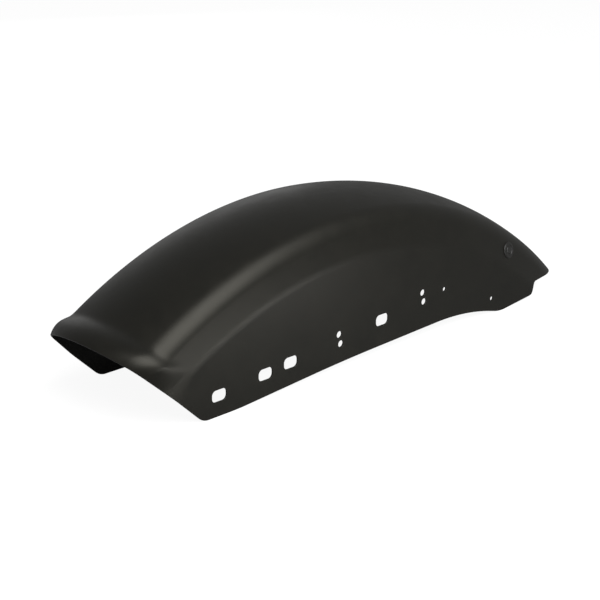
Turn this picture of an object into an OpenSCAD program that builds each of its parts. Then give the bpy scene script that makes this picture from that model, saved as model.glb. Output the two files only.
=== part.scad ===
// Rear fender of a motorcycle, pressed from one steel sheet: a crowned arc over the wheel with
// rounded shoulders, a leaning band below each shoulder, flat drilled skirts, a flared rear lip
// and a notched front end. A round plug closes a hole in the band on each side near the front.
// Millimetres. X runs from the rear lip to the front end, Y across, Z up. The origin is on the
// ground, under the middle of the fender, which stands on the four low corners of its skirts.

/* [Overall] */
// Width over the two skirts
outer_w = 184; // [164:1:204]
// Thickness of the steel sheet
wall = 2; // [1.4:0.1:3]
// Outer radius of the crown along the wheel
arc_r = 584; // [540:1:640]
// Height of the top of the crown above the ground
crown_h = 192; // [180:1:210]
// How far the top of the crown lies behind the middle
crown_back = 31.6; // [20:0.1:43]

/* [Section] */
// Radius of the crown across the fender
crown_bow = 208; // [160:1:400]
// Radius of the shoulder between crown and band
shoulder_r = 23; // [12:0.5:34]
// Lean of the band away from upright, degrees
band_lean = 15; // [9:0.5:21]
// Depth of the bend line between band and skirt below the crown
band_drop = 58; // [54:1:70]
// Radius of the bend between band and skirt
bend_r = 27; // [10:1:50]

/* [Rear lip] */
// How far behind the middle the lip's crease crosses the crown
crease_back = 341; // [331:1:351]
// How far behind the middle the rear skirt corners lie
rear_back = 282.3; // [274.3:0.2:290.3]
// Angle of the rear cut from the ground, degrees
cut_angle = 43.6; // [41.6:0.1:45.6]
// Length of the rear cut from the skirt corner to the lip's top
lip_top = 135.2; // [129.2:0.2:141.2]
// Lean of the lip's sides in the rear cut, degrees
lip_lean = 16.4; // [12.4:0.1:19.4]
// Where the lip's sides start to lean, along the rear cut
lip_bend = 53; // [46:1:59]
// Radius of the lip's shoulders
lip_shoulder_r = 36.5; // [24.5:0.5:42.5]
// Radius of the lip's top edge across the fender
lip_bow = 124; // [104:1:184]
// Swell of the lip between its crease and the rear cut
lip_swell = 4.5; // [0:0.1:6]
// Radius of the rear skirt corners
rear_corner_r = 9; // [3:0.5:12]

/* [Skirt edge] */
// Rise of the skirt edge over the middle of its length
edge_rise = 10.9; // [6:0.1:16]
// Height of the arch ahead of the last strut slot
arch_rise = 17.8; // [12:0.1:24]
// Distance of the low front lobe ahead of the middle
lobe_x = 231; // [219:1:243]
// Distance of the front skirt corner ahead of the middle
front_x = 306.5; // [298.5:0.2:314.5]
// Height of the notched front end above the ground
notch_h = 22; // [14:0.5:30]

/* [Holes] */
// Length of a strut slot
slot_l = 21; // [16:0.5:26]
// Height of a strut slot
slot_h = 14; // [10:0.5:16]
// Corner radius of a strut slot
slot_r = 4; // [1:0.5:4.5]
// Diameter of the paired bolt holes
bolt_d = 8.2; // [5:0.1:9.5]
// Spacing of the two holes in a pair
bolt_pitch = 12.4; // [11:0.1:16]
// Diameter of the two small holes
small_d = 5.2; // [3:0.1:8]

/* [Plug] */
// Diameter of the plug's rim
plug_d = 21.5; // [19:0.5:25]
// Diameter of the hole it sits in
plug_hole_d = 16; // [12:0.2:17]
// Angle of the plug ahead of the crown's top, degrees
plug_angle = 30.9; // [20:0.1:34]

/* [Hidden] */
$fn = 96;
half_w = outer_w / 2;
axis_x = -crown_back;
axis_z = crown_h - arc_r;
crease_angle = asin((crease_back - crown_back) / arc_r);
front_angle = acos((notch_h - axis_z) / arc_r) + 3;
skirt_foot = -axis_z - 12;
cut_foot = [-rear_back, 0];
lip_bend_r = 86;
lip_slant = 1.15;
lip_stations = 4;
// The lip laps over the end of the arc by this much, outside and inside
lap = 0.12;
// Strut slots as distance ahead of the middle and height
slots = [[-258.8, 24.5], [-189.3, 29.7], [-150, 33], [2.6, 45.7]];
// Middle of each pair of bolt holes, and the small holes
pairs = [[-69.7, 40], [76.9, 56.2]];
pair_tilt = 12.5;
small_holes = [[116.6, 57.2], [212.3, 21.4]];
// Height of the plug on the band, as radius from the wheel side
plug_r = arc_r - band_drop + 21;
plug_y = half_w - (plug_r - arc_r + band_drop) * tan(band_lean);
steel = "#20201e";
plug_grey = "#4a4a47";

function rev(v) = [for (i = [len(v) - 1 : -1 : 0]) v[i]];
function tail(v) = [for (i = [1 : len(v) - 1]) v[i]];

// Half of a section, from the middle of the crown to the foot of the skirt, as [across, up].
// side and cover set the skin inward from the outer face at the sides and at the crown.
function half_section(top, bow, lean, bend, sh_r, bd_r, foot, side, cover) =
    let (
        w = half_w - side,
        crown = bow - cover,
        sr = sh_r - side,
        br = bd_r - side,
        low = [w, bend - side * tan(lean / 2)],
        mid = [0, top - bow],
        up = [-sin(lean), cos(lean)],
        q = low + sr * [-cos(lean), -sin(lean)] - mid,
        s = -q * up + sqrt(pow(q * up, 2) - q * q + pow(crown - sr, 2)),
        sc = mid + q + s * up,
        a = atan2(sc.x - mid.x, sc.y - mid.y),
        bc = [w - br, low.y - br * tan(lean / 2)]
    )
    concat(
        [for (i = [0 : 5]) mid + crown * [sin(a * i / 5), cos(a * i / 5)]],
        [for (i = [1 : 7]) let (t = a + (90 - lean - a) * i / 7) sc + sr * [sin(t), cos(t)]],
        [for (i = [0 : 3]) let (t = 90 - lean + lean * i / 3) bc + br * [sin(t), cos(t)]],
        [[w, foot]]
    );

// The same section from the foot of one skirt to the foot of the other
function skin(h) = concat([for (p = rev(tail(h))) [-p.x, p.y]], h);

// Sections of the arc, and of the lip in the plane of the rear cut
function arc_half(foot, side) = half_section(arc_r, crown_bow, band_lean, arc_r - band_drop,
    shoulder_r, bend_r, foot, side, side);
function lip_half(side) = half_section(lip_top, lip_bow, lip_lean, lip_bend,
    lip_shoulder_r, lip_bend_r, -8, side, side * lip_slant);

// Points of the lip as [forward, across, out], from the wheel's axis and the crease: a section
// on the arc lies at forward 0, and the lip's far end in the rear cut
function on_arc(p, forward = 0) = [forward, p.x, p.y];
function on_cut(p) =
    let (x = cut_foot.x - p.y * cos(cut_angle) - axis_x, z = p.y * sin(cut_angle) - axis_z)
    [
        x * cos(crease_angle) + z * sin(crease_angle), p.x,
        z * cos(crease_angle) - x * sin(crease_angle)
    ];
// One skin of the lip at a share s of the way from the crease to the rear cut. It swells along
// n, the way out of the sheet at each point of the crease, but not where it joins the skirts.
function lip_skin(a, n, b, s) = [
    for (i = [0 : len(a) - 1])
        let (
            p = on_arc(a[i]),
            q = on_cut(b[i]),
            out = abs(a[i].x) < half_w - 4 ? n[i] - a[i] : [0, 0],
            c = (p + q) / 2 + 2 * lip_swell * [0, out.x, out.y]
        )
        (1 - s) * (1 - s) * p + 2 * s * (1 - s) * c + s * s * q
];

// Corners of an outline given as [x, z, radius], with each corner rounded
function rounded(v) = [
    for (i = [0 : len(v) - 1])
        let (
            b = [v[i].x, v[i].y],
            r = v[i].z,
            n = len(v),
            a = [v[(i + n - 1) % n].x, v[(i + n - 1) % n].y],
            c = [v[(i + 1) % n].x, v[(i + 1) % n].y],
            u = (a - b) / norm(a - b),
            w = (c - b) / norm(c - b),
            h = acos(u * w) / 2,
            m = (u + w) / norm(u + w),
            o = b + m * r / sin(h),
            turn = sign(u.x * w.y - u.y * w.x),
            first = atan2((b + u * r / tan(h) - o).y, (b + u * r / tan(h) - o).x)
        )
        each r == 0 ? [b] : [
            for (k = [0 : 6])
                let (t = first - turn * (180 - 2 * h) * k / 6)
                o + r * [cos(t), sin(t)]
        ]
];

module arc_shell() {
    outer = skin(arc_half(skirt_foot, 0));
    inner = skin(arc_half(skirt_foot, wall));
    translate([axis_x, 0, axis_z])
        rotate([90, 0, 0])
            rotate([0, 0, 90 - front_angle])
                rotate_extrude(angle = front_angle + crease_angle, $fn = 360)
                    polygon([for (p = concat(outer, rev(inner))) [p.y, p.x]]);
}

module lip_shell() {
    foot = (axis_z + 8) / -cos(crease_angle);
    a_out = skin(arc_half(foot, -lap));
    a_in = skin(arc_half(foot, wall + lap));
    b_out = skin(lip_half(-lap));
    b_in = skin(lip_half(wall + lap));
    n_out = skin(arc_half(foot, -lap - 1));
    n_in = skin(arc_half(foot, wall + lap - 1));
    n = len(a_out);
    m = 2 * n;
    root = [for (p = concat(a_out, rev(a_in))) on_arc(p, 3)];
    rings = [
        for (k = [0 : lip_stations])
            let (s = pow(k / lip_stations, 1.3))
            concat(lip_skin(a_out, n_out, b_out, s), rev(lip_skin(a_in, n_in, b_in, s)))
    ];
    before = rings[lip_stations - 1];
    rim = rings[lip_stations];
    // The last ring lies past the rear cut, on the straight lines through the rim
    pts = concat(
        root,
        [for (k = [0 : lip_stations - 1]) each rings[k]],
        [for (i = [0 : m - 1]) rim[i] + (rim[i] - before[i]) / 2]
    );
    last = (lip_stations + 1) * m;
    walls = [
        for (k = [0 : lip_stations], i = [0 : m - 1])
            let (j = (i + 1) % m, p = k * m, q = p + m)
            each [[p + i, q + j, p + j], [p + i, q + i, q + j]]
    ];
    ends = [
        for (i = [0 : n - 2])
            let (j = m - 1 - i)
            each [
                [i, i + 1, j - 1], [i, j - 1, j],
                [last + i, last + j - 1, last + i + 1], [last + i, last + j, last + j - 1]
            ]
    ];
    translate([axis_x, 0, axis_z])
        rotate([0, -crease_angle, 0])
            polyhedron(points = pts, faces = concat(walls, ends));
}

// Side view of the trimmed fender: rear cut, skirt edge, front lobe, notch and open space above
module side_outline() {
    far = 230;
    cut = [cut_foot.x - far, far * tan(cut_angle)];
    polygon(rounded([
        [cut.x, cut.y, 0],
        [cut_foot.x, cut_foot.y, rear_corner_r],
        [-231, 0, 400],
        [-66, edge_rise, 3000],
        [157.7, arch_rise, 380],
        [lobe_x, -0.76, 60],
        [front_x, 6.6, 6],
        [front_x + (notch_h - 6.6) * 0.64, notch_h, 8],
        [front_x + 120, notch_h, 0],
        [front_x + 120, cut.y + 20, 0],
        [cut.x, cut.y + 20, 0]
    ]));
}

module slot_cut() {
    rotate([90, 0, 0])
        linear_extrude(outer_w + 20, center = true)
            union() {
                square([slot_l - 2 * slot_r, slot_h], center = true);
                square([slot_l, slot_h - 2 * slot_r], center = true);
                for (x = [-1, 1], y = [-1, 1])
                    translate([x * (slot_l / 2 - slot_r), y * (slot_h / 2 - slot_r)])
                        circle(slot_r, $fn = 48);
            }
}

module cross_hole(x, z, d) {
    translate([x, 0, z])
        rotate([90, 0, 0])
            cylinder(d = d, h = outer_w + 20, center = true);
}

// Places a child on the band at the plug, with its Z axis pointing out of the sheet
module at_plug(side) {
    translate([axis_x, 0, axis_z])
        rotate([0, plug_angle, 0])
            translate([0, side * plug_y, plug_r])
                rotate([-side * (90 - band_lean), 0, 0])
                    children();
}

module fender() {
    color(steel)
        difference() {
            intersection() {
                union() {
                    arc_shell();
                    lip_shell();
                }
                rotate([90, 0, 0])
                    linear_extrude(outer_w + 40, center = true)
                        side_outline();
            }
            for (p = slots)
                translate([p.x, 0, p.y])
                    slot_cut();
            for (p = pairs, s = [-1, 1])
                cross_hole(p.x - s * sin(pair_tilt) * bolt_pitch / 2,
                    p.y + s * cos(pair_tilt) * bolt_pitch / 2, bolt_d);
            for (p = small_holes)
                cross_hole(p.x, p.y, small_d);
            for (side = [-1, 1])
                at_plug(side)
                    cylinder(d = plug_hole_d, h = 20, center = true);
        }
}

// Rim outside the sheet, stem through the hole and a bead that holds it from inside
module plug() {
    color(plug_grey) {
        difference() {
            union() {
                cylinder(d1 = plug_d, d2 = plug_d - 2, h = 1.6);
                translate([0, 0, -wall - 3])
                    cylinder(d = plug_hole_d - 0.3, h = wall + 3.2);
                translate([0, 0, -wall - 2.4])
                    cylinder(d1 = plug_hole_d - 0.3, d2 = plug_hole_d + 1, h = 2);
            }
            translate([0, 0, 0.8])
                difference() {
                    cylinder(d = plug_d * 0.64, h = 2);
                    translate([0, 0, -1])
                        cylinder(d = plug_d * 0.4, h = 4);
                }
            translate([0, 0, -wall - 4])
                cylinder(d = plug_hole_d - 4, h = wall + 3);
        }
    }
}

module plug_left() {
    at_plug(1)
        plug();
}

module plug_right() {
    at_plug(-1)
        plug();
}

fender();
plug_left();
plug_right();
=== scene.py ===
"""Looks of the motorcycle rear fender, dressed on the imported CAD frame.

Lengths are millimetres until a vertex or an object is placed. The lamps, the floor and the texture
scales are in metres.
"""

import math

import bmesh
import bpy
import numpy as np
from mathutils import Matrix, Vector
from mathutils.geometry import delaunay_2d_cdt


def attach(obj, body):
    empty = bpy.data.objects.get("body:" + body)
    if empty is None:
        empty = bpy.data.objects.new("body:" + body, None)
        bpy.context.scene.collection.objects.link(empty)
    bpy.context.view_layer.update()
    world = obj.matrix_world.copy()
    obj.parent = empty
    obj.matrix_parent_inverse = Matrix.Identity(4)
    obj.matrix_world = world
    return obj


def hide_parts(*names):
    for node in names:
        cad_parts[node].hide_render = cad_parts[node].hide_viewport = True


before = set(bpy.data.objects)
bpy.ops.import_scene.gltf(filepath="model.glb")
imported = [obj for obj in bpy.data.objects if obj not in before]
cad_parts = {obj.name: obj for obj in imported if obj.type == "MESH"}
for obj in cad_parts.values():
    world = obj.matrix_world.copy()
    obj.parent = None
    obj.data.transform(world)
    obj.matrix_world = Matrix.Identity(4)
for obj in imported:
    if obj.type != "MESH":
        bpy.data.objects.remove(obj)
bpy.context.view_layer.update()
scene = bpy.context.scene
MM = 0.001

# Sizes of the sheet, as in the part's source, apart from the shoulder, the bend and the corners of skirt
# and slots, which are softer here, and the front corner, which lies further back
HALF_W, WALL = 92.0, 2.0
ARC_R, CROWN_H, CROWN_BACK = 584.0, 192.0, 31.6
# The wheel's axis, about which the arc is turned
AX, AZ = -CROWN_BACK, CROWN_H - ARC_R
# The crease between arc and lip, as a turn about that axis, and the slanted cut that ends the lip
CREASE_BACK = 341.0
CREASE = math.asin((CREASE_BACK - CROWN_BACK) / ARC_R)
REAR_BACK, CUT = 282.3, math.radians(43.6)
BAND_DROP, BAND_LEAN = 58.0, 15.0
# The two sections: heights of crown and bend line, then the radii of crown, shoulder and bend
ARC = dict(top=ARC_R, bend=ARC_R - BAND_DROP, lean=BAND_LEAN, bow=208.0, shoulder=31.0, fold=44.0)
LIP = dict(top=135.2, bend=53.0, lean=16.4, bow=124.0, shoulder=36.5, fold=86.0)
# The wall looks thicker in the lip's section, which is cut at a slant
LIP_COVER = 1.15
LIP_SWELL, CREASE_FORWARD = 4.5, 13.0

# The skirt's trimmed edge in side view. The lobe is the low round form behind the front notch
REAR_CORNER_R = 20.0
EDGE_RISE, ARCH_RISE = 10.9, 17.8
LOBE_X, LOBE_LOW = 231.0, -0.76
FRONT_X, FRONT_LOW, NOTCH_RUN, NOTCH_H = 298.0, 5.8, 6.5, 22.0
# Past the ends of the sheet, so that the lines of the cut and the notch run beyond it
BEYOND_REAR, BEYOND_FRONT = 230.0, 120.0
# Forward of this the edge belongs to the front end
FRONT_PART = 150.0
# Corners of the edge as x, z, radius and steps. The first and the last are its ends
EDGE_CORNERS = [
    (-REAR_BACK - BEYOND_REAR, BEYOND_REAR * math.tan(CUT), 0, 0),
    (-REAR_BACK, 0, REAR_CORNER_R, 12),
    (-231, 0, 400, 12),
    (-66, EDGE_RISE, 3000, 24),
    (157.7, ARCH_RISE, 380, 16),
    (LOBE_X, LOBE_LOW, 60, 16),
    (FRONT_X, FRONT_LOW, 6, 10),
    (FRONT_X + NOTCH_RUN, NOTCH_H, 8, 10),
    (FRONT_X + BEYOND_FRONT, NOTCH_H, 0, 0),
]

# Openings in each skirt, by their centres as x, z
SLOT_L, SLOT_H, SLOT_R = 21.0, 14.0, 5.5
SLOTS = [(-258.8, 24.5), (-189.3, 29.7), (-150.0, 33.0), (2.6, 45.7)]
BOLT_D, BOLT_PITCH, PAIR_TILT = 8.2, 12.4, 12.5
PAIRS = [(-69.7, 40.0), (76.9, 56.2)]
SMALL_D = 5.2
SMALL = [(116.6, 57.2), (212.3, 21.4)]

# The plug: its turn about the wheel's axis, its rise over the bend line, its distances from that axis
PLUG_D, PLUG_ANGLE, PLUG_RISE = 21.5, 30.9, 21.0
PLUG_R = ARC_R - BAND_DROP + PLUG_RISE
PLUG_Y = HALF_W - PLUG_RISE * math.tan(math.radians(BAND_LEAN))
# Its profile as radius and height over the band
PLUG_DOME = [(0.0, 1.95), (1.6, 1.92), (3.0, 1.80), (3.9, 1.58), (4.3, 1.2), (4.5, 0.85)]
PLUG_GROOVE = [(4.9, 0.72), (6.2, 0.70), (6.6, 0.82)]
PLUG_RING = [(6.9, 1.2), (7.2, 1.48), (7.8, 1.6), (8.9, 1.58), (9.7, 1.40), (10.3, 1.05)]
PLUG_RIM = [(PLUG_D / 2 - 0.1, 0.55), (PLUG_D / 2, 0.25), (PLUG_D / 2, 0.0)]
PLUG_STEM = [(7.85, 0.0), (7.85, -2.3), (8.4, -2.7), (8.35, -3.2), (7.85, -4.4), (7.6, -4.95), (7.2, -5.0)]
PLUG_HOLLOW = [(6.0, -5.0), (6.0, -1.2), (0.0, -1.0)]
PLUG_PROFILE = PLUG_DOME + PLUG_GROOVE + PLUG_RING + PLUG_RIM + PLUG_STEM + PLUG_HOLLOW

# How finely the sheet is divided: across half a section, then along the lip and the arc
CROWN_N, SHOULDER_N, BAND_N, FOLD_N = 20, 16, 18, 8
LIP_N, NEAR_N, NEAR_STEP, FAR_N = 26, 14, 0.0024, 180
# The crease is softened over SOFT_ROWS rows on either side of it, SOFT_TIMES times
SOFT_ROWS, SOFT_TIMES = 13.0, 12
SKIRT_STEP, CUT_STEP, SLOT_STEP = 5, 4, 2.5
# Largest area of a sliver, in square millimetres
SLIVER = 0.0005
EDGE_SOFT, EDGE_SEGMENTS = 0.45, 3

# The camera fitted to the photograph: place, then heading from +X, dip and roll in degrees
CAMERA_AT = (-1299.843, -1265.347, 697.946)
CAMERA_HEADING, CAMERA_DIP, CAMERA_ROLL = 45.2415, 19.7367, 0.4841
CAMERA_LENS, CAMERA_SENSOR = 93.556, 36.0


# Node helpers
def material(name):
    m = bpy.data.materials.new(name)
    m.use_nodes = True
    nt = m.node_tree
    nt.nodes.clear()
    return m, nt, nt.nodes.new("ShaderNodeOutputMaterial")


def add(nt, kind, **values):
    n = nt.nodes.new(kind)
    for name, value in values.items():
        n.inputs[name].default_value = value
    return n


def surface_place(nt):
    return nt.nodes.new("ShaderNodeTexCoord").outputs["Object"]


def noise(nt, place, scale, detail, rough, distortion=0.0):
    """Cloudy values from 0 to 1, with so many features in a metre."""
    n = add(nt, "ShaderNodeTexNoise", Scale=scale, Detail=detail, Roughness=rough, Distortion=distortion)
    nt.links.new(place, n.inputs["Vector"])
    return n.outputs["Fac"]


def ramp(nt, fac, stops):
    """Colours from (position, colour) stops."""
    r = nt.nodes.new("ShaderNodeValToRGB")
    for stop, (position, colour) in zip(r.color_ramp.elements, stops):
        stop.position = position
        stop.color = (*colour, 1)
    nt.links.new(fac, r.inputs["Fac"])
    return r.outputs["Color"]


def spread(nt, fac, low, high):
    """The middle half of a noise, stretched to run from low to high."""
    m = nt.nodes.new("ShaderNodeMapRange")
    for name, value in (("From Min", 0.25), ("From Max", 0.75), ("To Min", low), ("To Max", high)):
        m.inputs[name].default_value = value
    nt.links.new(fac, m.inputs["Value"])
    return m.outputs["Result"]


def calc(nt, operation, a, b):
    """A sum, product or greater value of two sockets or numbers."""
    m = nt.nodes.new("ShaderNodeMath")
    m.operation = operation
    for socket, value in zip(m.inputs, (a, b)):
        if isinstance(value, float):
            socket.default_value = value
        else:
            nt.links.new(value, socket)
    return m.outputs[0]


def toward(nt, fac, tone, colour):
    """The tone, moved towards a colour by the factor."""
    m = nt.nodes.new("ShaderNodeMix")
    m.data_type = "RGBA"
    sockets = {s.name: s for s in m.inputs if s.type == "RGBA"}
    nt.links.new(fac, m.inputs["Factor"])
    nt.links.new(tone, sockets["A"])
    sockets["B"].default_value = (*colour, 1)
    return next(s for s in m.outputs if s.type == "RGBA")


def mixed(nt, share, first, second):
    """The first shader, with a share of the second."""
    m = nt.nodes.new("ShaderNodeMixShader")
    for socket, source in zip(m.inputs, (share, first.outputs[0], second.outputs[0])):
        nt.links.new(source, socket)
    return m


def bumped(nt, layers):
    """Chain of bumps, each (height socket, strength, distance in metres)."""
    last = None
    for height, strength, distance in layers:
        b = add(nt, "ShaderNodeBump", Strength=strength, Distance=distance)
        nt.links.new(height, b.inputs["Height"])
        if last is not None:
            nt.links.new(last, b.inputs["Normal"])
        last = b.outputs["Normal"]
    return last


def coat(nt, tone, rough, layers, level):
    """The shader that the coats share, with its specular level."""
    b = nt.nodes.new("ShaderNodeBsdfPrincipled")
    b.inputs["Specular IOR Level"].default_value = level
    nt.links.new(tone, b.inputs["Base Color"])
    nt.links.new(rough, b.inputs["Roughness"])
    nt.links.new(bumped(nt, layers), b.inputs["Normal"])
    return b


def dulled(nt, glossy, least=0.2, growth=0.5):
    """The glossy shader with a matt black share that grows at flat angles, as a dusty coat has."""
    flatness = add(nt, "ShaderNodeLayerWeight", Blend=0.5).outputs["Facing"]
    share = calc(nt, "ADD", calc(nt, "MULTIPLY", flatness, growth), least)
    matt = add(nt, "ShaderNodeBsdfDiffuse", Color=(0.0016, 0.0016, 0.0013, 1))
    return mixed(nt, share, glossy, matt)


# Materials
def primer_black():
    """Black dip primer on pressed steel: half gloss, softly clouded, with a fine texture and faint dust."""
    dark, pale, worn = (0.0010, 0.0010, 0.0008), (0.0018, 0.0017, 0.0013), (0.0024, 0.0023, 0.0017)
    dust, warm_gloss = (0.030, 0.029, 0.026), (1.0, 0.97, 0.86, 1)
    m, nt, out = material("primer_black")
    place = surface_place(nt)
    broad = noise(nt, place, scale=9.0, detail=3.0, rough=0.5)
    cloud = noise(nt, place, scale=38.0, detail=5.0, rough=0.6, distortion=0.4)
    fine = noise(nt, place, scale=620.0, detail=3.0, rough=0.6)
    peel = noise(nt, place, scale=1500.0, detail=2.0, rough=0.5)
    grain = noise(nt, place, scale=2400.0, detail=1.0, rough=0.4)
    tone = ramp(nt, cloud, [(0.3, dark), (0.7, pale)])
    tone = toward(nt, spread(nt, broad, 0.0, 0.35), tone, worn)
    speck = ramp(nt, grain, [(0.70, (0, 0, 0)), (0.80, (1, 1, 1))])
    tone = toward(nt, calc(nt, "MULTIPLY", speck, 0.30), tone, dust)
    rough = calc(nt, "ADD", spread(nt, cloud, 0.37, 0.44), spread(nt, fine, -0.02, 0.03))
    layers = [(broad, 0.25, 0.0012), (cloud, 0.12, 0.0004), (fine, 0.10, 0.00010), (peel, 0.08, 0.00005)]
    gloss = coat(nt, tone, rough, layers, level=0.11)
    gloss.inputs["Specular Tint"].default_value = warm_gloss
    nt.links.new(dulled(nt, gloss).outputs[0], out.inputs["Surface"])
    return m


def undercoat():
    """Matt black coat on the wheel side: pebbled and dull."""
    dark, pale = (0.0022, 0.0022, 0.0020), (0.0042, 0.0041, 0.0037)
    m, nt, out = material("undercoat_black")
    place = surface_place(nt)
    cloud = noise(nt, place, scale=55.0, detail=5.0, rough=0.6)
    pebble = noise(nt, place, scale=420.0, detail=3.0, rough=0.6)
    tone = ramp(nt, cloud, [(0.3, dark), (0.7, pale)])
    layers = [(cloud, 0.15, 0.0004), (pebble, 0.35, 0.00025)]
    dull = coat(nt, tone, spread(nt, pebble, 0.72, 0.88), layers, level=0.04)
    nt.links.new(dull.outputs[0], out.inputs["Surface"])
    return m


def plug_rubber():
    """Moulded dark grey plug: a little paler than the primer."""
    dark, pale = (0.0030, 0.0030, 0.0028), (0.0055, 0.0054, 0.0050)
    m, nt, out = material("plug_grey")
    place = surface_place(nt)
    cloud = noise(nt, place, scale=160.0, detail=4.0, rough=0.6)
    grain = noise(nt, place, scale=2600.0, detail=2.0, rough=0.5)
    tone = ramp(nt, cloud, [(0.3, dark), (0.7, pale)])
    layers = [(cloud, 0.10, 0.0002), (grain, 0.15, 0.00004)]
    gloss = coat(nt, tone, spread(nt, cloud, 0.34, 0.42), layers, level=0.13)
    nt.links.new(dulled(nt, gloss).outputs[0], out.inputs["Surface"])
    return m


# Sections and skins of the sheet
def clamped(value):
    return min(1.0, max(0.0, value))


def half(section, side, cover):
    """Half of a section as rows of [across, up], from the middle of the crown to the end of the bend.

    The result lies under the outer face by cover on the crown and by side everywhere else.
    """
    width, crown_r = HALF_W - side, section["bow"] - cover
    shoulder_r, fold_r = section["shoulder"] - side, section["fold"] - side
    lean = math.radians(section["lean"])
    flat = math.pi / 2 - lean
    # The sharp corner at the bend line, and the centre of the crown's bow
    low = np.array([width, section["bend"] - side * math.tan(lean / 2)])
    mid = np.array([0.0, section["top"] - section["bow"]])
    # The shoulder touches band and crown, so its centre is looked for along the band
    along = np.array([-math.sin(lean), math.cos(lean)])
    start = low + shoulder_r * np.array([-math.cos(lean), -math.sin(lean)]) - mid
    run = -start @ along + math.sqrt((start @ along) ** 2 - start @ start + (crown_r - shoulder_r) ** 2)
    shoulder = mid + start + run * along
    reach = math.atan2(shoulder[0] - mid[0], shoulder[1] - mid[1])
    fold = np.array([width - fold_r, low[1] - fold_r * math.tan(lean / 2)])

    def ray(t):
        return np.array([math.sin(t), math.cos(t)])

    out = [mid + crown_r * ray(reach * i / CROWN_N) for i in range(CROWN_N + 1)]
    turns = [reach + (flat - reach) * i / SHOULDER_N for i in range(1, SHOULDER_N + 1)]
    out += [shoulder + shoulder_r * ray(t) for t in turns]
    top, end = out[-1], fold + fold_r * ray(flat)
    out += [top + (end - top) * i / BAND_N for i in range(1, BAND_N + 1)]
    out += [fold + fold_r * ray(flat + lean * i / FOLD_N) for i in range(1, FOLD_N + 1)]
    return np.array(out)


def on_arc(p, turn):
    """A point of the arc's section, turned rearward about the wheel's axis, in space."""
    return np.array([AX - p[1] * math.sin(turn), p[0], AZ + p[1] * math.cos(turn)])


def on_cut(p):
    """A point of the lip's section in space, on the slanted cut."""
    return np.array([-REAR_BACK - p[1] * math.cos(CUT), p[0], p[1] * math.sin(CUT)])


def column(j, on_band, on_lip, outward):
    """Points at one place of the section, from the lip's rim along to the front end.

    The crease runs forward as it goes down the band.
    """
    low = clamped((j - CROWN_N - 0.4 * SHOULDER_N) / (0.6 * SHOULDER_N + BAND_N))
    crease = CREASE - CREASE_FORWARD / on_band[1] * low * low * (3 - 2 * low)
    swell = LIP_SWELL * (1 - clamped((j - CROWN_N - SHOULDER_N) / BAND_N))
    start, rim = on_arc(on_band, crease), on_cut(on_lip)
    normal = np.array([-math.sin(crease) * outward[1], outward[0], math.cos(crease) * outward[1]])
    pull = (start + rim) / 2 + 2 * swell * normal
    from_crease = [1 - i / LIP_N for i in range(LIP_N)]
    points = [(1 - s) ** 2 * start + 2 * s * (1 - s) * pull + s * s * rim for s in from_crease]
    near = [NEAR_STEP * i for i in range(NEAR_N)]
    along = near + [near[-1] + (1 - near[-1]) * i / FAR_N for i in range(1, FAR_N + 1)]
    front = front_turn(on_band[1])
    return points + [on_arc(on_band, crease + (front - crease) * f) for f in along]


def soften_crease(grid):
    """Rows near the crease are moved towards their neighbours, as in a pressed bend."""
    off = [abs(i - LIP_N) / SOFT_ROWS for i in range(1, len(grid) - 1)]
    near = np.array([max(0.0, 1 - v) for v in off])[:, None, None]
    for _ in range(SOFT_TIMES):
        grid[1:-1] += 0.5 * np.minimum(1, near * 2) * ((grid[:-2] + grid[2:]) / 2 - grid[1:-1])


def skin(side):
    """Grid of points: rows from the lip's rim to the front end, columns from the +Y bend to the -Y one."""
    arc, lip = half(ARC, side, side), half(LIP, side, side * LIP_COVER)
    outward = half(ARC, side - 1, side - 1) - arc
    columns = [column(j, *of_column) for j, of_column in enumerate(zip(arc, lip, outward))]
    grid = np.array(columns).transpose(1, 0, 2)
    soften_crease(grid)
    far = grid[:, 1:].copy()
    far[:, :, 1] *= -1
    return np.concatenate([grid[:, ::-1], far], axis=1)


# Lines in side view, as lists of [x, z]
def around(mid, r, turn):
    return mid + r * np.array([math.cos(turn), math.sin(turn)])


def refine(pts, step):
    """The same line with no stretch longer than the step."""
    out = []
    for a, b in zip(pts, pts[1:]):
        a, b = np.asarray(a), np.asarray(b)
        n = max(1, math.ceil(np.linalg.norm(b - a) / step))
        out += [a + (b - a) * i / n for i in range(n)]
    return out + [np.asarray(pts[-1])]


def corner(a, b, c, r, n):
    """Points of the rounded corner b between a and c."""
    a, b, c = (np.array(v, float) for v in (a, b, c))
    u, w = (a - b) / np.linalg.norm(a - b), (c - b) / np.linalg.norm(c - b)
    h = math.acos(u @ w) / 2
    mid = b + (u + w) / np.linalg.norm(u + w) * r / math.sin(h)
    start = b + u * r / math.tan(h)
    first = math.atan2(*(start - mid)[::-1])
    turn = math.copysign(1, u[0] * w[1] - u[1] * w[0])
    return [around(mid, r, first - turn * (math.pi - 2 * h) * k / n) for k in range(n + 1)]


def skirt_edge():
    """The skirt's trimmed edge, from the rear cut round to the notch."""
    pts = []
    for before, here, after in zip(EDGE_CORNERS, EDGE_CORNERS[1:], EDGE_CORNERS[2:]):
        pts += corner(before[:2], here[:2], after[:2], *here[2:])
    return pts


EDGE = skirt_edge()


def axis_distance(p):
    return math.hypot(p[0] - AX, p[1] - AZ)


def front_end(r):
    """Where the circle of radius r about the wheel's axis meets the edge at the front."""
    edge = [p for p in EDGE if p[0] > FRONT_PART] + [np.array(EDGE_CORNERS[-1][:2])]
    for a, b in zip(edge, edge[1:]):
        if axis_distance(a) <= r < axis_distance(b):
            for _ in range(40):
                m = (a + b) / 2
                if axis_distance(m) < r:
                    a = m
                else:
                    b = m
            return a
    return edge[-1]


def front_turn(r):
    """The turn about the wheel's axis at which the sheet ends, for its points at distance r."""
    x, z = front_end(r)
    return -math.atan2(x - AX, z - AZ)


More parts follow.
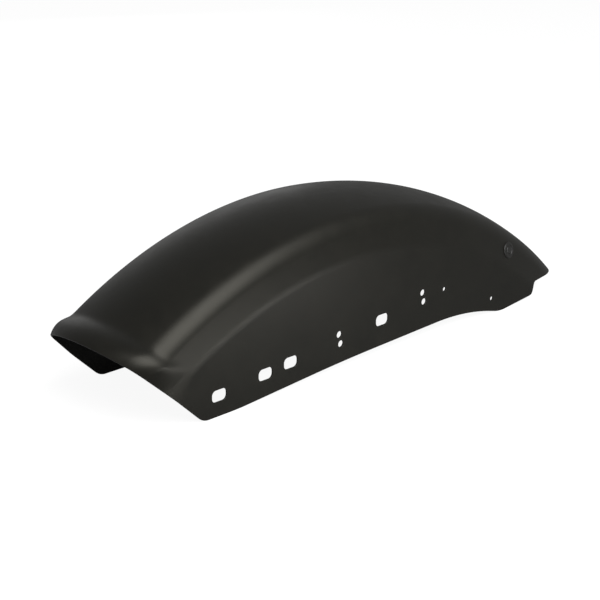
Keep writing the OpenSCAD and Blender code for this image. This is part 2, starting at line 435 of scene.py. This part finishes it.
def circle(x, z, d, n=56):
    return [around(np.array([x, z]), d / 2, 2 * math.pi * k / n) for k in range(n)]


def slot_loop(x, z):
    """A strut slot: a rectangle with rounded corners."""
    out = []
    for cx, cz, start in ((1, 1, 0), (-1, 1, 90), (-1, -1, 180), (1, -1, 270)):
        mid = np.array([x + cx * (SLOT_L / 2 - SLOT_R), z + cz * (SLOT_H / 2 - SLOT_R)])
        out += [around(mid, SLOT_R, math.radians(start + 9 * k)) for k in range(11)]
    return refine(out + [out[0]], SLOT_STEP)[:-1]


def hole_loops():
    loops = [slot_loop(*p) for p in SLOTS]
    tilt = math.radians(PAIR_TILT)
    for x, z in PAIRS:
        for s in (-1, 1):
            across, up = s * math.sin(tilt) * BOLT_PITCH / 2, s * math.cos(tilt) * BOLT_PITCH / 2
            loops.append(circle(x - across, z + up, BOLT_D))
    return loops + [circle(x, z, SMALL_D, 40) for x, z in SMALL]


def inside(p, loop):
    """Whether a line from the point towards +X crosses the loop an odd number of times."""
    hit = False
    for (x0, z0), (x1, z1) in zip(loop, loop[1:] + loop[:1]):
        if (z0 > p[1]) != (z1 > p[1]) and p[0] < x0 + (p[1] - z0) / (z1 - z0) * (x1 - x0):
            hit = not hit
    return hit


def drilled(tris, pts, edges, bound, holes):
    """The triangles inside the bound and outside the holes.

    Triangles that no edge parts form a group, which is judged by its largest triangle. Slivers along a
    straight edge are left out.
    """
    walls = {frozenset(e) for e in edges}
    group = list(range(len(tris)))

    def root(i):
        while group[i] != i:
            group[i] = group[group[i]]
            i = group[i]
        return i

    seen = {}
    for i, t in enumerate(tris):
        for e in map(frozenset, zip(t, t[1:] + t[:1])):
            if e in walls:
                continue
            if e in seen:
                group[root(i)] = root(seen[e])
            seen[e] = i
    total, largest = {}, {}
    for i, t in enumerate(tris):
        a, b, c = (pts[k] for k in t)
        area = ((b[0] - a[0]) * (c[1] - a[1]) - (b[1] - a[1]) * (c[0] - a[0])) / 2
        r = root(i)
        total[r] = total.get(r, 0.0) + area
        if area > largest.get(r, (0.0, None))[0]:
            largest[r] = (area, (a + b + c) / 3)

    def kept(middle):
        return inside(middle, bound) and not any(inside(middle, hole) for hole in holes)

    keep = {r for r, (area, middle) in largest.items() if total[r] > SLIVER and kept(middle)}
    return [t for i, t in enumerate(tris) if root(i) in keep]


# The sheet as one closed shell
def ring(first, n):
    """Pairs of neighbours in a closed loop of n numbers."""
    return [(first + i, first + (i + 1) % n) for i in range(n)]


class Shell:
    """Vertices in metres and faces of the sheet while it is built."""

    def __init__(self):
        self.verts, self.faces = [], []
        self.wheel_side = set()

    def put(self, x, y, z):
        self.verts.append((x * MM, y * MM, z * MM))
        return len(self.verts) - 1

    def add_skin(self, side):
        """One curved skin as a grid of vertex numbers. The outer one has side 0."""
        grid = [[self.put(*p) for p in row] for row in skin(side)]
        for low, high in zip(grid, grid[1:]):
            for a, b, c, d in zip(low, low[1:], high[1:], high):
                self.faces.append((a, b, c, d) if side == 0 else (d, c, b, a))
        return grid

    def add_skirt(self, sign, bend, edge, loops):
        """One flat drilled skirt below a bend line, on both faces. The result is its edge on each."""
        flats = (sign * HALF_W, sign * (HALF_W - WALL))
        line = [np.array([self.verts[v][0], self.verts[v][2]]) / MM for v in bend[0]]
        trim = refine([line[0], edge[0]], CUT_STEP)[1:-1] + refine(edge, SKIRT_STEP)[:-1]
        trim.reverse()
        trims = [[self.put(x, y, z) for x, z in trim] for y in flats]
        ids = [b + t for b, t in zip(bend, trims)]
        bound = line + trim
        pts, edges = bound, ring(0, len(bound))
        for loop in loops:
            wall = ring(len(pts), len(loop))
            pts, edges = pts + loop, edges + wall
            ids = [known + [self.put(x, y, z) for x, z in loop] for known, y in zip(ids, flats)]
            for a, b in wall:
                f = (ids[0][a], ids[0][b], ids[1][b], ids[1][a])
                self.faces.append(f[::-1] if sign < 0 else f)
        # The same triangles close both faces of the skirt
        result = delaunay_2d_cdt([Vector(p) for p in pts], edges, [], 0, 1e-5)
        found, sources = result[2], result[3]
        tris = [[sources[i][0] for i in f] for f in found]
        for t in drilled(tris, pts, edges, bound, loops):
            outer, inner = ([known[i] for i in t] for known in ids)
            self.faces.append(tuple(outer[::-1] if sign > 0 else outer))
            self.faces.append(tuple(inner if sign > 0 else inner[::-1]))
        self.wheel_side.update(ids[1])
        return trims

    def close_rim(self, skins, left, right):
        """The sheet's own edge: rear lip, -Y skirt, front end, +Y skirt."""
        rims = [grid[0] + far[::-1] + grid[-1][::-1] + near for grid, near, far in zip(skins, left, right)]
        outer, inner = rims
        for a, b in ring(0, len(outer)):
            self.faces.append((outer[a], inner[a], inner[b], outer[b]))


def smooth_object(name, mesh):
    """An object with smooth faces, all turned outward."""
    bm = bmesh.new()
    bm.from_mesh(mesh)
    bmesh.ops.recalc_face_normals(bm, faces=bm.faces)
    for f in bm.faces:
        f.smooth = True
    bm.to_mesh(mesh)
    bm.free()
    ob = bpy.data.objects.new(name, mesh)
    scene.collection.objects.link(ob)
    return ob


def build_fender():
    shell = Shell()
    skins = [shell.add_skin(side) for side in (0.0, WALL)]
    shell.wheel_side.update(v for row in skins[1] for v in row)
    # The trimmed edge ends where it meets the bend line at the front
    bend_r = half(ARC, 0.0, 0.0)[-1][1]
    edge = [p for p in EDGE if p[0] < FRONT_PART or axis_distance(p) < bend_r - 0.05]
    edge.append(front_end(bend_r))
    loops = hole_loops()
    bends = [[[row[col] for row in grid] for grid in skins] for col in (0, -1)]
    left = shell.add_skirt(1, bends[0], edge, loops)
    right = shell.add_skirt(-1, bends[1], edge, loops)
    shell.close_rim(skins, left, right)
    mesh = bpy.data.meshes.new("fender_sheet")
    mesh.from_pydata(shell.verts, [], shell.faces)
    under = [int(shell.wheel_side.issuperset(f)) for f in shell.faces]
    mesh.polygons.foreach_set("material_index", under)
    ob = smooth_object("fender_sheet", mesh)
    soft = ob.modifiers.new("edge", "BEVEL")
    soft.width = EDGE_SOFT * MM
    soft.segments = EDGE_SEGMENTS
    soft.limit_method = "ANGLE"
    soft.angle_limit = math.radians(45)
    soft.harden_normals = True
    return ob


# The plug
def turned(name, profile, n=72):
    """Mesh of a profile that starts and ends on the axis, turned about Z."""
    verts, faces, rings = [], [], []
    for r, z in profile:
        turns = [2 * math.pi * k / n for k in range(n)] if r else [0.0]
        rings.append(list(range(len(verts), len(verts) + len(turns))))
        verts += [(r * MM * math.cos(t), r * MM * math.sin(t), z * MM) for t in turns]
    for a, b in zip(rings, rings[1:]):
        for k, j in ring(0, n):
            if len(a) == 1:
                faces.append((a[0], b[k], b[j]))
            elif len(b) == 1:
                faces.append((a[k], b[0], a[j]))
            else:
                faces.append((a[k], b[k], b[j], a[j]))
    mesh = bpy.data.meshes.new(name)
    mesh.from_pydata(verts, [], faces)
    return mesh


def build_plug(name, side):
    """A plug that sits on the band of one side, +1 for the left and -1 for the right."""
    ob = smooth_object(name, turned(name, PLUG_PROFILE))
    forward = Matrix.Rotation(math.radians(PLUG_ANGLE), 4, "Y")
    seat = Matrix.Translation((0, side * PLUG_Y * MM, PLUG_R * MM))
    lean = Matrix.Rotation(-side * math.radians(90.0 - BAND_LEAN), 4, "X")
    ob.data.transform(Matrix.Translation((AX * MM, 0, AZ * MM)) @ forward @ seat @ lean)
    return ob


steel = primer_black()
plug_mat = plug_rubber()
sheet = build_fender()
sheet.data.materials.append(steel)
sheet.data.materials.append(undercoat())
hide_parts("fender")
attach(sheet, "root")
for nm, sd in (("plug_left", 1), ("plug_right", -1)):
    ob = build_plug(nm + "_cap", sd)
    ob.data.materials.append(plug_mat)
    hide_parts(nm)
    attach(ob, "root")


# Floor, world, lamps and camera
def seen_rays(nt):
    """1 for camera, glossy and transmission rays, which see a white backdrop, and 0 for the others."""
    path = nt.nodes.new("ShaderNodeLightPath")
    direct = calc(nt, "MAXIMUM", path.outputs["Is Camera Ray"], path.outputs["Is Glossy Ray"])
    return calc(nt, "MAXIMUM", direct, path.outputs["Is Transmission Ray"])


def floor_material():
    """Pale floor that the eye and mirrors see as white, with the object's shadow kept."""
    m, nt, out = material("floor_white")
    plain = add(nt, "ShaderNodeBsdfDiffuse", Color=(0.78, 0.78, 0.78, 1))
    shaded = add(nt, "ShaderNodeBsdfDiffuse", Color=(0.05, 0.05, 0.05, 1))
    glow = add(nt, "ShaderNodeEmission", Color=(1, 1, 1, 1), Strength=0.93)
    white = nt.nodes.new("ShaderNodeAddShader")
    nt.links.new(shaded.outputs[0], white.inputs[0])
    nt.links.new(glow.outputs[0], white.inputs[1])
    nt.links.new(mixed(nt, seen_rays(nt), plain, white).outputs[0], out.inputs["Surface"])
    return m


def build_floor(reach=12.0):
    mesh = bpy.data.meshes.new("floor")
    corners = [(-reach, -reach, 0), (reach, -reach, 0), (reach, reach, 0), (-reach, reach, 0)]
    mesh.from_pydata(corners, [], [(0, 1, 2, 3)])
    mesh.materials.append(floor_material())
    ob = bpy.data.objects.new("floor", mesh)
    scene.collection.objects.link(ob)
    return ob


def build_world():
    """A faint cool sky lights the object, and a white one is seen."""
    scene.world = bpy.data.worlds.new("studio")
    scene.world.use_nodes = True
    nt = scene.world.node_tree
    nt.nodes.clear()
    out = nt.nodes.new("ShaderNodeOutputWorld")
    faint = add(nt, "ShaderNodeBackground", Color=(0.95, 0.97, 1.0, 1), Strength=0.35)
    white = add(nt, "ShaderNodeBackground", Color=(1, 1, 1, 1), Strength=1.0)
    nt.links.new(mixed(nt, seen_rays(nt), faint, white).outputs[0], out.inputs["Surface"])


def softbox(name, azimuth, elevation, distance, size, radiance, aim=(0, 0, 0.1)):
    """Area lamp, hidden from the camera, that shines on the aim.

    From there it is seen at that azimuth, where 0 is +X and 90 is +Y, and at that elevation.
    """
    a, e = math.radians(azimuth), math.radians(elevation)
    way = Vector((math.cos(e) * math.cos(a), math.cos(e) * math.sin(a), math.sin(e)))
    lamp = bpy.data.lights.new(name, "AREA")
    lamp.shape = "RECTANGLE"
    lamp.size, lamp.size_y = size
    lamp.energy = radiance * math.pi * size[0] * size[1]
    ob = bpy.data.objects.new(name, lamp)
    ob.location = Vector(aim) + way * distance
    ob.rotation_euler = (-way).to_track_quat("-Z", "Y").to_euler()
    ob.visible_camera = False
    scene.collection.objects.link(ob)


def place_camera():
    data = bpy.data.cameras.new("camera")
    data.sensor_width = CAMERA_SENSOR
    data.lens = CAMERA_LENS
    data.clip_end = 100.0
    ob = bpy.data.objects.new("camera", data)
    heading = Matrix.Rotation(math.radians(CAMERA_HEADING - 90.0), 4, "Z")
    dip = Matrix.Rotation(math.radians(90.0 - CAMERA_DIP), 4, "X")
    roll = Matrix.Rotation(math.radians(CAMERA_ROLL), 4, "Z")
    ob.matrix_world = Matrix.Translation(Vector(CAMERA_AT) * MM) @ heading @ dip @ roll
    scene.collection.objects.link(ob)
    scene.camera = ob


floor = build_floor()
build_world()
# The lamps are strong and the coats very dark, so that the white backdrop mirrors little in them
softbox("key", azimuth=-102, elevation=50, distance=2.6, size=(2.7, 2.4), radiance=18.5)
softbox("back", azimuth=62, elevation=9, distance=2.4, size=(1.3, 0.75), radiance=1.7)
# A narrow strip lamp beside the rear part of the near skirt, level with it
strip_aim = (-0.158, -0.104, 0.03)
softbox("low", azimuth=-70, elevation=0, distance=0.45, size=(0.44, 0.04), radiance=52.0, aim=strip_aim)
scene.view_settings.view_transform = "Standard"
place_camera()
